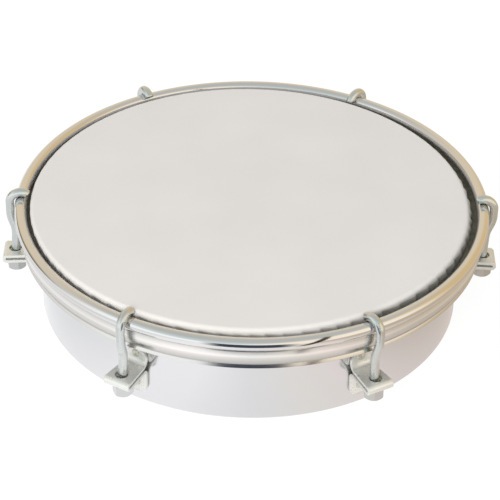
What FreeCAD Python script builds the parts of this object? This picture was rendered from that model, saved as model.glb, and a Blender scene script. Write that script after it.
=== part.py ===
import FreeCAD, Part
import Sketcher
import os

# Tamborim: a small hand drum with a rolled metal shell, a glued film head, a round
# counter hoop and six hook bolts that draw it down.
# Millimetres, +Z up, the drum's axis on Z, the shell's lower rim on Z = 0.
# Hooks stand at 0, 60, 120, 180, 240 and 300 degrees about Z, counted from +X.

doc = FreeCAD.newDocument("tamborim")

# Driving sizes, in millimetres, degrees and counts
sizes = [
    ("lug_count", "6"),
    # shell
    ("shell_radius", "76.2"),
    ("shell_wall", "1.0"),
    ("shell_height", "41.75"),
    ("shell_bend_inside", "0.5"),
    ("shell_lip_width", "3.0"),
    ("hem_flat", "1.0"),
    ("hem_height", "3.0"),
    # drum head: film, and where it leaves the shell's edge
    ("film_thickness", "0.25"),
    ("film_crown_inset", "1.2"),
    ("film_crown_bend", "2.0"),
    ("film_slope", "55"),
    ("film_foot_bend", "1.5"),
    ("film_wall_gap", "2.8"),
    ("film_foot_rise", "2.1"),
    # flesh hoop: an open channel round the shell, and the resin that fills it
    ("flesh_hoop_gap", "1.0"),
    ("flesh_hoop_wall", "1.0"),
    ("flesh_hoop_room", "5.4"),
    ("flesh_hoop_height", "8.1"),
    ("flesh_hoop_drop", "5.75"),
    ("flesh_hoop_bend", "2.2"),
    ("resin_rim_drop", "1.0"),
    ("bond_gap", "0.05"),
    # counter hoop: a round rod on the flesh hoop's outer wall
    ("rod_diameter", "4.5"),
    ("rod_inset", "0.2"),
    ("seat_gap", "0.05"),
    # hook bolt: bent wire with a threaded foot
    ("wire_diameter", "3.175"),
    ("hook_side_gap", "0.35"),
    ("hook_wrap", "42"),
    ("hook_shank", "4.0"),
    ("jog_bend", "12.0"),
    ("jog_angle", "24"),
    ("bolt_reach", "9.7"),
    ("bolt_below_nut", "0.8"),
    ("bolt_tip_chamfer", "0.4"),
    # lug bracket: a strip folded into two flanges and a doubled shelf
    ("bracket_width", "10.0"),
    ("bracket_waist", "8.2"),
    ("bracket_thickness", "1.2"),
    ("shelf_share", "0.630825"),
    ("shelf_gap", "0.9"),
    ("shelf_reach", "14.4"),
    ("upper_bend", "2.0"),
    ("lower_bend", "1.5"),
    ("upper_flange", "5.3"),
    ("lower_flange", "9.2"),
    ("flange_corner", "3.2"),
    ("shelf_hole_diameter", "5.3"),
    ("shelf_hole_shift", "0.4"),
    # tuning nut
    ("nut_flats", "6.35"),
    ("nut_height", "4.2"),
    ("nut_foot_radius", "3.2"),
    ("nut_foot_height", "0.8"),
    ("thread_gap", "0.05"),
    # rivets
    ("upper_rivet_rise", "3.7"),
    ("lower_rivet_drop", "5.0"),
    ("upper_head_diameter", "3.2"),
    ("lower_head_diameter", "3.4"),
    ("rivet_dome", "0.9"),
    ("rivet_shank_diameter", "2.2"),
    ("rivet_tail_diameter", "3.2"),
    ("rivet_tail_height", "0.8"),
    ("rivet_gap", "0.05"),
]

# Places worked out from the sizes
places = [
    # shell
    ("lug_angle", "360 / Size.lug_count"),
    ("shell_inside", "Size.shell_radius - Size.shell_wall"),
    ("shell_bend_outside", "Size.shell_bend_inside + Size.shell_wall"),
    ("shell_bend_centre", "Size.shell_radius - shell_bend_outside"),
    ("shell_top_bend", "Size.shell_height - shell_bend_outside"),
    ("shell_lip_underside", "Size.shell_height - Size.shell_wall"),
    ("shell_lip_edge", "Size.shell_radius - Size.shell_lip_width"),
    ("hem_bend_centre", "shell_bend_centre - Size.hem_flat"),
    ("hem_inside", "hem_bend_centre - shell_bend_outside"),
    ("hem_outside", "hem_inside + Size.shell_wall"),
    # film
    ("film_top", "Size.shell_height + Size.film_thickness"),
    ("crown_radius", "Size.shell_radius - Size.film_crown_inset"),
    ("crown_height", "Size.shell_height - Size.film_crown_bend"),
    ("crown_outer_bend", "Size.film_crown_bend + Size.film_thickness"),
    ("slope_top_radius", "crown_radius + Size.film_crown_bend * sin(Size.film_slope)"),
    ("slope_top_height", "crown_height + Size.film_crown_bend * cos(Size.film_slope)"),
    ("slope_top_outer_radius", "crown_radius + crown_outer_bend * sin(Size.film_slope)"),
    ("slope_top_outer_height", "crown_height + crown_outer_bend * cos(Size.film_slope)"),
    ("film_wall_inside", "Size.shell_radius + Size.film_wall_gap"),
    ("film_wall_outside", "film_wall_inside + Size.film_thickness"),
    ("foot_outer_bend", "Size.film_foot_bend + Size.film_thickness"),
    ("foot_radius", "film_wall_inside - Size.film_foot_bend"),
    ("slope_foot_radius", "foot_radius + Size.film_foot_bend * sin(Size.film_slope)"),
    ("slope_fall", "(slope_foot_radius - slope_top_radius) * tan(Size.film_slope)"),
    ("slope_foot_height", "slope_top_height - slope_fall"),
    ("foot_height", "slope_foot_height - Size.film_foot_bend * cos(Size.film_slope)"),
    ("slope_foot_outer_radius", "foot_radius + foot_outer_bend * sin(Size.film_slope)"),
    ("slope_foot_outer_height", "foot_height + foot_outer_bend * cos(Size.film_slope)"),
    # flesh hoop and resin
    ("channel_inner_radius", "Size.shell_radius + Size.flesh_hoop_gap"),
    ("channel_room_start", "channel_inner_radius + Size.flesh_hoop_wall"),
    ("channel_room_end", "channel_room_start + Size.flesh_hoop_room"),
    ("channel_outer_radius", "channel_room_end + Size.flesh_hoop_wall"),
    ("channel_top", "Size.shell_height - Size.flesh_hoop_drop"),
    ("channel_bottom", "channel_top - Size.flesh_hoop_height"),
    ("channel_floor", "channel_bottom + Size.flesh_hoop_wall"),
    ("channel_bend_height", "channel_bottom + Size.flesh_hoop_bend"),
    ("channel_inner_bend", "channel_inner_radius + Size.flesh_hoop_bend"),
    ("channel_outer_bend", "channel_outer_radius - Size.flesh_hoop_bend"),
    ("resin_top", "channel_top - Size.resin_rim_drop"),
    ("resin_inside", "channel_room_start + Size.bond_gap"),
    ("resin_outside", "channel_room_end - Size.bond_gap"),
    ("film_end", "channel_floor + Size.film_foot_rise"),
    ("slit_inside", "film_wall_inside - Size.bond_gap"),
    ("slit_outside", "film_wall_outside + Size.bond_gap"),
    # counter hoop
    ("rod_radius", "Size.rod_diameter / 2"),
    ("rod_ring", "channel_outer_radius - Size.flesh_hoop_wall / 2 - Size.rod_inset"),
    ("rod_height", "channel_top + Size.seat_gap + rod_radius"),
    # hook bolt
    ("wire_radius", "Size.wire_diameter / 2"),
    ("hook_inner_bend", "rod_radius + Size.hook_side_gap"),
    ("hook_bend", "hook_inner_bend + wire_radius"),
    ("hook_height", "rod_height + rod_radius + Size.seat_gap - hook_inner_bend"),
    ("hook_crest", "hook_height + hook_bend"),
    ("hook_tip_radius", "rod_ring - hook_bend * sin(Size.hook_wrap)"),
    ("hook_tip_height", "hook_height + hook_bend * cos(Size.hook_wrap)"),
    ("shank_radius", "rod_ring + hook_bend"),
    ("shank_foot", "hook_height - Size.hook_shank"),
    ("bolt_radius", "Size.shell_radius + Size.bolt_reach"),
    ("jog_side", "Size.jog_bend * (1 - cos(Size.jog_angle))"),
    ("jog_rise", "Size.jog_bend * sin(Size.jog_angle)"),
    ("jog_upper_radius", "shank_radius - jog_side"),
    ("jog_lower_radius", "bolt_radius + jog_side"),
    ("jog_slant", "(jog_upper_radius - jog_lower_radius) / tan(Size.jog_angle)"),
    ("jog_upper_height", "shank_foot - jog_rise"),
    ("jog_lower_height", "jog_upper_height - jog_slant"),
    ("jog_foot", "jog_lower_height - jog_rise"),
    ("jog_upper_centre", "shank_radius - Size.jog_bend"),
    ("jog_lower_centre", "bolt_radius + Size.jog_bend"),
    # lug bracket, whose shelf stands at a share of the bare wall under the flesh hoop
    ("shelf_height", "channel_bottom * Size.shelf_share"),
    ("shelf_upper_underside", "shelf_height - Size.bracket_thickness"),
    ("shelf_middle", "shelf_upper_underside - Size.shelf_gap / 2"),
    ("shelf_lower_top", "shelf_upper_underside - Size.shelf_gap"),
    ("shelf_bottom", "shelf_lower_top - Size.bracket_thickness"),
    ("nose_radius", "Size.shell_radius + Size.shelf_reach"),
    ("nose_inside", "nose_radius - Size.bracket_thickness"),
    ("nose_centre", "nose_inside - Size.shelf_gap / 2"),
    ("flange_front", "Size.shell_radius + Size.bracket_thickness"),
    ("upper_bend_radius", "flange_front + Size.upper_bend"),
    ("upper_bend_height", "shelf_height + Size.upper_bend"),
    ("lower_bend_radius", "flange_front + Size.lower_bend"),
    ("lower_bend_height", "shelf_bottom - Size.lower_bend"),
    ("flange_top", "shelf_height + Size.upper_flange"),
    ("flange_bottom", "shelf_bottom - Size.lower_flange"),
    ("shelf_hole_radius", "bolt_radius + Size.shelf_hole_shift"),
    ("nose_left", "Size.bracket_width / 2"),
    ("nose_right", "-nose_left"),
    ("waist_left", "Size.bracket_waist / 2"),
    ("waist_right", "-waist_left"),
    ("trim_left", "nose_left + Size.bracket_thickness"),
    ("trim_right", "-trim_left"),
    # tuning nut
    ("nut_bottom", "shelf_bottom - Size.nut_height"),
    ("nut_corner_diameter", "2 * Size.nut_flats / sqrt(3)"),
    ("nut_corner", "nut_corner_diameter / 2"),
    ("nut_bore_diameter", "Size.wire_diameter + 2 * Size.thread_gap"),
    ("nut_foot_cut", "nut_corner - Size.nut_foot_radius"),
    ("nut_foot_bend", "(nut_foot_cut ^ 2 + Size.nut_foot_height ^ 2) / (2 * nut_foot_cut)"),
    ("nut_foot_centre", "nut_corner - nut_foot_bend"),
    ("nut_cut_edge", "nut_corner + Size.thread_gap"),
    ("bolt_tip", "nut_bottom - Size.bolt_below_nut"),
    # rivets, whose own origin lies on the shell's outer face
    ("upper_rivet_height", "shelf_height + Size.upper_rivet_rise"),
    ("lower_rivet_height", "shelf_bottom - Size.lower_rivet_drop"),
    ("rivet_hole_diameter", "Size.rivet_shank_diameter + 2 * Size.rivet_gap"),
    ("rivet_shank", "Size.rivet_shank_diameter / 2"),
    ("rivet_tail", "Size.rivet_tail_diameter / 2"),
    ("rivet_tail_face", "-Size.shell_wall - Size.rivet_gap"),
    ("rivet_tail_end", "rivet_tail_face - Size.rivet_tail_height"),
    ("rivet_dome_end", "Size.bracket_thickness + Size.rivet_dome"),
    ("upper_head", "Size.upper_head_diameter / 2"),
    ("lower_head", "Size.lower_head_diameter / 2"),
    ("upper_dome_bend", "(upper_head ^ 2 + Size.rivet_dome ^ 2) / (2 * Size.rivet_dome)"),
    ("lower_dome_bend", "(lower_head ^ 2 + Size.rivet_dome ^ 2) / (2 * Size.rivet_dome)"),
    ("upper_dome_centre", "rivet_dome_end - upper_dome_bend"),
    ("lower_dome_centre", "rivet_dome_end - lower_dome_bend"),
]


# A sheet with a name, a cell and an alias on each row
def makeSheet(name, rows, formula):
    sheet = doc.addObject("Spreadsheet::Sheet", name)
    for row, (alias, text) in enumerate(rows, start=1):
        sheet.set("A%d" % row, alias)
        sheet.set("B%d" % row, "=" + text if formula else text)
        sheet.setAlias("B%d" % row, alias)
    doc.recompute()
    return sheet


sizeSheet = makeSheet("Size", sizes, formula=False)
placeSheet = makeSheet("Place", places, formula=True)
sizeNames = set(alias for alias, text in sizes)
lugCount = int(sizeSheet.lug_count)


# The number in a cell, zero where no cell is named
def value(alias):
    if alias is None:
        return 0.0
    sheet = sizeSheet if alias in sizeNames else placeSheet
    return float(sheet.get(alias))


# The expression that binds a property to a cell
def cell(alias):
    return ("Size." if alias in sizeNames else "Place.") + alias


def originFeature(body, role):
    return [item for item in body.Origin.OriginFeatures if item.Role == role][0]


def newBody(label):
    body = doc.addObject("PartDesign::Body", label)
    body.Label = label
    return body


def newSketch(body, name, role):
    sketch = body.newObject("Sketcher::SketchObject", name)
    sketch.AttachmentSupport = [(originFeature(body, role), "")]
    sketch.MapMode = "FlatFace"
    return sketch


# Holds one coordinate of a sketch point at a cell's value, or on the axis
def holdPoint(sketch, kind, geometry, point, alias):
    if alias is None:
        axis = -2 if kind == "DistanceX" else -1
        sketch.addConstraint(Sketcher.Constraint("PointOnObject", geometry, point, axis))
        return
    index = sketch.addConstraint(
        Sketcher.Constraint(kind, -1, 1, geometry, point, value(alias)))
    sketch.setExpression("Constraints[%d]" % index, cell(alias))


# The cells of a corner's two coordinates, and of the centre of the arc that leaves it
def corner(across, up, centreAcross=None, centreUp=None, arc=False):
    return {"at": (across, up), "centre": (centreAcross, centreUp), "arc": arc}


# Lines and arcs from corner to corner, each corner bound to its cells.
# Arcs turn under half a circle round the centre named with their first corner.
def drawPath(sketch, corners, closed):
    ends = corners[1:] + corners[:1] if closed else corners[1:]
    starts = corners if closed else corners[:-1]
    joints = []
    for first, last in zip(starts, ends):
        a = FreeCAD.Vector(value(first["at"][0]), value(first["at"][1]), 0)
        b = FreeCAD.Vector(value(last["at"][0]), value(last["at"][1]), 0)
        if not first["arc"]:
            geometry = sketch.addGeometry(Part.LineSegment(a, b), False)
            joints.append((geometry, 1, 2))
            continue
        centre = FreeCAD.Vector(value(first["centre"][0]), value(first["centre"][1]), 0)
        circle = Part.Circle(centre, FreeCAD.Vector(0, 0, 1), (a - centre).Length)
        turnsLeft = (a - centre).cross(b - centre).z > 0
        low, high = (a, b) if turnsLeft else (b, a)
        arc = Part.ArcOfCircle(circle, circle.parameter(low), circle.parameter(high))
        geometry = sketch.addGeometry(arc, False)
        joints.append((geometry, 1, 2) if turnsLeft else (geometry, 2, 1))
    for index, (geometry, startPoint, endPoint) in enumerate(joints):
        following = joints[(index + 1) % len(joints)]
        if closed or index + 1 < len(joints):
            sketch.addConstraint(Sketcher.Constraint(
                "Coincident", geometry, endPoint, following[0], following[1]))
        holdPoint(sketch, "DistanceX", geometry, startPoint, starts[index]["at"][0])
        holdPoint(sketch, "DistanceY", geometry, startPoint, starts[index]["at"][1])
        if starts[index]["arc"]:
            holdPoint(sketch, "DistanceX", geometry, 3, starts[index]["centre"][0])
    if not closed:
        holdPoint(sketch, "DistanceX", joints[-1][0], joints[-1][2], corners[-1]["at"][0])
        holdPoint(sketch, "DistanceY", joints[-1][0], joints[-1][2], corners[-1]["at"][1])


# A circle whose centre and diameter follow their cells
def drawCircle(sketch, across, up, diameter):
    centre = FreeCAD.Vector(value(across), value(up), 0)
    circle = Part.Circle(centre, FreeCAD.Vector(0, 0, 1), value(diameter) / 2)
    geometry = sketch.addGeometry(circle, False)
    holdPoint(sketch, "DistanceX", geometry, 3, across)
    holdPoint(sketch, "DistanceY", geometry, 3, up)
    index = sketch.addConstraint(Sketcher.Constraint("Diameter", geometry, value(diameter)))
    sketch.setExpression("Constraints[%d]" % index, cell(diameter))


# A ring turned about Z from a closed outline in the XZ plane
def turnedRing(label, corners):
    body = newBody(label)
    sketch = newSketch(body, label + "_outline", "XZ_Plane")
    drawPath(sketch, corners, closed=True)
    ring = body.newObject("PartDesign::Revolution", label + "_ring")
    ring.Profile = sketch
    ring.ReferenceAxis = (sketch, ["V_Axis"])
    ring.Angle = 360
    body.Tip = ring
    return body


# A cut from a sketch; the volume shows that it meets the solid
def cutPocket(body, name, sketch, through):
    doc.recompute()
    before = body.Shape.Volume
    pocket = body.newObject("PartDesign::Pocket", name)
    pocket.Profile = sketch
    pocket.Reversed = True
    pocket.Type = "ThroughAll" if through is None else "Length"
    if through is not None:
        pocket.setExpression("Length", cell(through))
    body.Tip = pocket
    doc.recompute()
    if body.Shape.Volume >= before:
        raise RuntimeError(name + " cuts nothing")
    return pocket


# Turns a piece about Z to the place of its lug
def turnToLug(body, lug):
    body.Placement.Rotation = FreeCAD.Rotation(FreeCAD.Vector(0, 0, 1), 0)
    body.setExpression("Placement.Rotation.Angle", "Place.lug_angle * %d" % lug)


# Shell: thin wall with an inward lip on top and a rolled hem below
def makeShell():
    body = turnedRing("shell", [
        corner("shell_radius", "shell_bend_outside"),
        corner("shell_radius", "shell_top_bend", "shell_bend_centre", "shell_top_bend", arc=True),
        corner("shell_bend_centre", "shell_height"),
        corner("shell_lip_edge", "shell_height"),
        corner("shell_lip_edge", "shell_lip_underside"),
        corner("shell_bend_centre", "shell_lip_underside", "shell_bend_centre", "shell_top_bend", arc=True),
        corner("shell_inside", "shell_top_bend"),
        corner("shell_inside", "shell_bend_outside", "shell_bend_centre", "shell_bend_outside", arc=True),
        corner("shell_bend_centre", "shell_wall"),
        corner("hem_bend_centre", "shell_wall", "hem_bend_centre", "shell_bend_outside", arc=True),
        corner("hem_outside", "shell_bend_outside"),
        corner("hem_outside", "hem_height"),
        corner("hem_inside", "hem_height"),
        corner("hem_inside", "shell_bend_outside", "hem_bend_centre", "shell_bend_outside", arc=True),
        corner("hem_bend_centre", None),
        corner("shell_bend_centre", None, "shell_bend_centre", "shell_bend_outside", arc=True),
    ])
    sketch = newSketch(body, "shell_rivet_holes", "YZ_Plane")
    drawCircle(sketch, None, "upper_rivet_height", "rivet_hole_diameter")
    drawCircle(sketch, None, "lower_rivet_height", "rivet_hole_diameter")
    holes = cutPocket(body, "shell_rivet_pocket", sketch, "channel_inner_radius")
    pattern = body.newObject("PartDesign::PolarPattern", "shell_hole_pattern")
    pattern.Originals = [holes]
    pattern.Axis = (originFeature(body, "Z_Axis"), [""])
    pattern.Angle = 360
    pattern.setExpression("Occurrences", "Size.lug_count")
    body.Tip = pattern
    return body


# Drum head: flat film, bent down over the shell's edge into the flesh hoop
def makeHeadFilm():
    return turnedRing("head_film", [
        corner(None, "shell_height"),
        corner("crown_radius", "shell_height", "crown_radius", "crown_height", arc=True),
        corner("slope_top_radius", "slope_top_height"),
        corner("slope_foot_radius", "slope_foot_height", "foot_radius", "foot_height", arc=True),
        corner("film_wall_inside", "foot_height"),
        corner("film_wall_inside", "film_end"),
        corner("film_wall_outside", "film_end"),
        corner("film_wall_outside", "foot_height", "foot_radius", "foot_height", arc=True),
        corner("slope_foot_outer_radius", "slope_foot_outer_height"),
        corner("slope_top_outer_radius", "slope_top_outer_height", "crown_radius", "crown_height", arc=True),
        corner("crown_radius", "film_top"),
        corner(None, "film_top"),
    ])


# Flesh hoop: an open channel with rounded lower corners
def makeFleshHoop():
    return turnedRing("flesh_hoop", [
        corner("channel_inner_radius", "channel_top"),
        corner("channel_inner_radius", "channel_bend_height", "channel_inner_bend", "channel_bend_height", arc=True),
        corner("channel_inner_bend", "channel_bottom"),
        corner("channel_outer_bend", "channel_bottom", "channel_outer_bend", "channel_bend_height", arc=True),
        corner("channel_outer_radius", "channel_bend_height"),
        corner("channel_outer_radius", "channel_top"),
        corner("channel_room_end", "channel_top"),
        corner("channel_room_end", "channel_bend_height", "channel_outer_bend", "channel_bend_height", arc=True),
        corner("channel_outer_bend", "channel_floor"),
        corner("channel_inner_bend", "channel_floor", "channel_inner_bend", "channel_bend_height", arc=True),
        corner("channel_room_start", "channel_bend_height"),
        corner("channel_room_start", "channel_top"),
    ])


# Resin: fills the channel, with a slit that the film's foot stands in
def makeHoopResin():
    return turnedRing("hoop_resin", [
        corner("resin_inside", "resin_top"),
        corner("resin_inside", "channel_bend_height"),
        corner("channel_inner_bend", "channel_floor"),
        corner("channel_outer_bend", "channel_floor"),
        corner("resin_outside", "channel_bend_height"),
        corner("resin_outside", "resin_top"),
        corner("slit_outside", "resin_top"),
        corner("slit_outside", "film_end"),
        corner("slit_inside", "film_end"),
        corner("slit_inside", "resin_top"),
    ])


# Counter hoop: a round rod ring
def makeCounterHoop():
    hoop = doc.addObject("Part::Torus", "counter_hoop")
    hoop.Label = "counter_hoop"
    hoop.setExpression("Radius1", "Place.rod_ring")
    hoop.setExpression("Radius2", "Place.rod_radius")
    hoop.setExpression("Placement.Base.z", "Place.rod_height")
    return hoop


# Hook bolt: wire from the threaded foot, through the jog, up and over the rod
def makeHookBolt(lug):
    label = "hook_bolt_%d" % (lug + 1)
    body = newBody(label)
    route = newSketch(body, label + "_route", "XZ_Plane")
    drawPath(route, [
        corner("bolt_radius", "bolt_tip"),
        corner("bolt_radius", "jog_foot", "jog_lower_centre", "jog_foot", arc=True),
        corner("jog_lower_radius", "jog_lower_height"),
        corner("jog_upper_radius", "jog_upper_height", "jog_upper_centre", "shank_foot", arc=True),
        corner("shank_radius", "shank_foot"),
        corner("shank_radius", "hook_height", "rod_ring", "hook_height", arc=True),
        corner("rod_ring", "hook_crest", "rod_ring", "hook_height", arc=True),
        corner("hook_tip_radius", "hook_tip_height"),
    ], closed=False)
    section = newSketch(body, label + "_section", "XY_Plane")
    section.setExpression("AttachmentOffset.Base.z", "Place.bolt_tip")
    drawCircle(section, "bolt_radius", None, "wire_diameter")
    wire = body.newObject("PartDesign::AdditivePipe", label + "_wire")
    wire.Profile = section
    wire.Spine = (route, [])
    body.Tip = wire
    doc.recompute()
    tip = lowestEdge(wire.Shape)
    chamfer = body.newObject("PartDesign::Chamfer", label + "_tip")
    chamfer.Base = (wire, [tip])
    chamfer.setExpression("Size", "Size.bolt_tip_chamfer")
    body.Tip = chamfer
    turnToLug(body, lug)
    return body


# The name of the edge that lies lowest
def lowestEdge(shape):
    heights = [edge.CenterOfMass.z for edge in shape.Edges]
    return "Edge%d" % (heights.index(min(heights)) + 1)


# Lug bracket: one folded strip, two flanges on the shell and a doubled shelf
def makeLugBracket(lug):
    label = "lug_bracket_%d" % (lug + 1)
    body = newBody(label)
    fold = newSketch(body, label + "_fold", "XZ_Plane")
    drawPath(fold, [
        corner("shell_radius", "flange_top"),
        corner("flange_front", "flange_top"),
        corner("flange_front", "upper_bend_height", "upper_bend_radius", "upper_bend_height", arc=True),
        corner("upper_bend_radius", "shelf_height"),
        corner("nose_centre", "shelf_height", "nose_centre", "shelf_middle", arc=True),
        corner("nose_radius", "shelf_middle", "nose_centre", "shelf_middle", arc=True),
        corner("nose_centre", "shelf_bottom"),
        corner("lower_bend_radius", "shelf_bottom", "lower_bend_radius", "lower_bend_height", arc=True),
        corner("flange_front", "lower_bend_height"),
        corner("flange_front", "flange_bottom"),
        corner("shell_radius", "flange_bottom"),
        corner("shell_radius", "lower_bend_height", "lower_bend_radius", "lower_bend_height", arc=True),
        corner("lower_bend_radius", "shelf_lower_top"),
        corner("nose_centre", "shelf_lower_top", "nose_centre", "shelf_middle", arc=True),
        corner("nose_inside", "shelf_middle", "nose_centre", "shelf_middle", arc=True),
        corner("nose_centre", "shelf_upper_underside"),
        corner("upper_bend_radius", "shelf_upper_underside", "upper_bend_radius", "upper_bend_height", arc=True),
        corner("shell_radius", "upper_bend_height"),
    ], closed=True)
    strip = body.newObject("PartDesign::Pad", label + "_strip")
    strip.Profile = fold
    strip.SideType = "Symmetric"
    strip.setExpression("Length", "Size.bracket_width")
    body.Tip = strip
    shelfHole = newSketch(body, label + "_shelf_hole", "XY_Plane")
    drawCircle(shelfHole, "shelf_hole_radius", None, "shelf_hole_diameter")
    cutPocket(body, label + "_shelf_pocket", shelfHole, None)
    taper = newSketch(body, label + "_taper", "XY_Plane")
    for side in ("left", "right"):
        drawPath(taper, [
            corner("nose_centre", "nose_" + side),
            corner("flange_front", "waist_" + side),
            corner("shell_bend_centre", "waist_" + side),
            corner("shell_bend_centre", "trim_" + side),
            corner("nose_centre", "trim_" + side),
        ], closed=True)
    cutPocket(body, label + "_taper_pocket", taper, None)
    rivetHoles = newSketch(body, label + "_rivet_holes", "YZ_Plane")
    drawCircle(rivetHoles, None, "upper_rivet_height", "rivet_hole_diameter")
    drawCircle(rivetHoles, None, "lower_rivet_height", "rivet_hole_diameter")
    holes = cutPocket(body, label + "_rivet_pocket", rivetHoles, None)
    rounding = body.newObject("PartDesign::Fillet", label + "_corners")
    rounding.Base = (holes, flangeCorners(holes.Shape))
    rounding.setExpression("Radius", "Size.flange_corner")
    body.Tip = rounding
    turnToLug(body, lug)
    return body


# The names of the four short edges at the free corners of the two flanges
def flangeCorners(shape):
    names = []
    reach = (value("shell_radius") + value("flange_front")) / 2
    for index, edge in enumerate(shape.Edges, start=1):
        middle = edge.CenterOfMass
        beside = abs(abs(middle.y) - value("waist_left")) < value("rivet_gap")
        above = abs(middle.z - value("flange_top")) < value("rivet_gap")
        below = abs(middle.z - value("flange_bottom")) < value("rivet_gap")
        if beside and (above or below) and abs(middle.x - reach) < value("rivet_gap"):
            names.append("Edge%d" % index)
    return names


# Tuning nut: a hexagon with a bore and a rounded foot, on its own origin
def makeTuningNut(lug):
    label = "tuning_nut_%d" % (lug + 1)
    body = newBody(label)
    face = newSketch(body, label + "_face", "XY_Plane")
    drawHexagon(face, "nut_corner_diameter")
    drawCircle(face, None, None, "nut_bore_diameter")
    block = body.newObject("PartDesign::Pad", label + "_block")
    block.Profile = face
    block.setExpression("Length", "Size.nut_height")
    body.Tip = block
    doc.recompute()
    foot = newSketch(body, label + "_foot", "XZ_Plane")
    drawPath(foot, [
        corner("nut_foot_radius", None),
        corner("nut_cut_edge", None),
        corner("nut_cut_edge", "nut_foot_height"),
        corner("nut_corner", "nut_foot_height", "nut_foot_centre", "nut_foot_height", arc=True),
    ], closed=True)
    rounding = body.newObject("PartDesign::Groove", label + "_rounding")
    rounding.Profile = foot
    rounding.ReferenceAxis = (foot, ["V_Axis"])
    rounding.Angle = 360
    body.Tip = rounding
    turnToLug(body, lug)
    around = "Place.bolt_radius * %s(Place.lug_angle * %d)"
    body.setExpression("Placement.Base.x", around % ("cos", lug))
    body.setExpression("Placement.Base.y", around % ("sin", lug))
    body.setExpression("Placement.Base.z", "Place.nut_bottom")
    return body


# A regular hexagon inside a construction circle, two sides square to X
def drawHexagon(sketch, diameter):
    radius = value(diameter) / 2
    angles = [FreeCAD.Rotation(FreeCAD.Vector(0, 0, 1), 30 + 60 * side) for side in range(6)]
    points = [angle.multVec(FreeCAD.Vector(radius, 0, 0)) for angle in angles]
    for first, last in zip(points, points[1:] + points[:1]):
        sketch.addGeometry(Part.LineSegment(first, last), False)
    circle = Part.Circle(FreeCAD.Vector(0, 0, 0), FreeCAD.Vector(0, 0, 1), radius)
    ring = sketch.addGeometry(circle, True)
    sketch.addConstraint(Sketcher.Constraint("Coincident", ring, 3, -1, 1))
    for side in range(6):
        sketch.addConstraint(Sketcher.Constraint("Coincident", side, 2, (side + 1) % 6, 1))
        sketch.addConstraint(Sketcher.Constraint("PointOnObject", side, 1, ring))
    for side in range(1, 6):
        sketch.addConstraint(Sketcher.Constraint("Equal", 0, side))
    sketch.addConstraint(Sketcher.Constraint("Vertical", 5))
    index = sketch.addConstraint(Sketcher.Constraint("Diameter", ring, value(diameter)))
    sketch.setExpression("Constraints[%d]" % index, cell(diameter))


# Rivet: domed head on the bracket, shank through both pieces, flat tail inside the shell
def makeRivet(row, lug):
    label = "%s_rivet_%d" % (row, lug + 1)
    body = newBody(label)
    sketch = newSketch(body, label + "_outline", "XZ_Plane")
    drawPath(sketch, [
        corner("rivet_tail_end", None),
        corner("rivet_tail_end", "rivet_tail"),
        corner("rivet_tail_face", "rivet_tail"),
        corner("rivet_tail_face", "rivet_shank"),
        corner("bracket_thickness", "rivet_shank"),
        corner("bracket_thickness", row + "_head", row + "_dome_centre", None, arc=True),
        corner("rivet_dome_end", None),
    ], closed=True)
    rivet = body.newObject("PartDesign::Revolution", label + "_turned")
    rivet.Profile = sketch
    rivet.ReferenceAxis = (sketch, ["H_Axis"])
    rivet.Angle = 360
    body.Tip = rivet
    turnToLug(body, lug)
    around = "Size.shell_radius * %s(Place.lug_angle * %d)"
    body.setExpression("Placement.Base.x", around % ("cos", lug))
    body.setExpression("Placement.Base.y", around % ("sin", lug))
    body.setExpression("Placement.Base.z", "Place.%s_rivet_height" % row)
    return body


pieces = [makeShell(), makeHeadFilm(), makeFleshHoop(), makeHoopResin(), makeCounterHoop()]
for lug in range(lugCount):
    pieces.append(makeHookBolt(lug))
    pieces.append(makeTuningNut(lug))
    pieces.append(makeLugBracket(lug))
    pieces.append(makeRivet("upper", lug))
    pieces.append(makeRivet("lower", lug))
doc.recompute()

# Every object has recomputed, every sketch is fully held and every piece is a valid solid
for item in doc.Objects:
    if "Invalid" in item.State or "Error" in item.State:
        raise RuntimeError(item.Label + " did not recompute")
    if item.TypeId == "Sketcher::SketchObject" and not item.FullyConstrained:
        raise RuntimeError(item.Label + " is not fully constrained")
for piece in pieces:
    if piece.Shape.isNull() or not piece.Shape.isValid() or len(piece.Shape.Solids) != 1:
        raise RuntimeError(piece.Label + " is not one valid solid")

os.makedirs("parts", exist_ok=True)
for piece in pieces:
    piece.Shape.exportStep(os.path.join("parts", piece.Label + ".step"))
    print(piece.Label, round(piece.Shape.Volume, 2), "mm3")
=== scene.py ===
import math

import bmesh
import bpy
import numpy as np
from mathutils import Matrix, Vector


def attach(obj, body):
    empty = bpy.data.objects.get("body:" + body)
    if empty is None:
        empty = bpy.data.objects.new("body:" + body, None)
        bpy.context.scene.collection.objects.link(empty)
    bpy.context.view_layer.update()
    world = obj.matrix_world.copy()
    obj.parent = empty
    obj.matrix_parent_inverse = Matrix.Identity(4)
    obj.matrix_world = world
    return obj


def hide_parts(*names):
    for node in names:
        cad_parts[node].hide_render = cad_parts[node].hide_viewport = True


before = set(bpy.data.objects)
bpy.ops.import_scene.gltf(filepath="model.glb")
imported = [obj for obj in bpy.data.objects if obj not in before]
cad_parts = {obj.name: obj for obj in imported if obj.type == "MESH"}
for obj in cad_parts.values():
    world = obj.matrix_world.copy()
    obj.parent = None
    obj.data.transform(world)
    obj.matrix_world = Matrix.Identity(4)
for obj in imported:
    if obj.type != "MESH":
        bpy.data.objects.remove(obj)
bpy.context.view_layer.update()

mm = 0.001
lugAngles = [math.radians(60 * lug) for lug in range(6)]   # right first, then round by the back

# The head, its hoops and the tops of the hooks sit a little off the shell's axis, x and y in mm
hoopShift = (0.6, 0.15)


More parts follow.
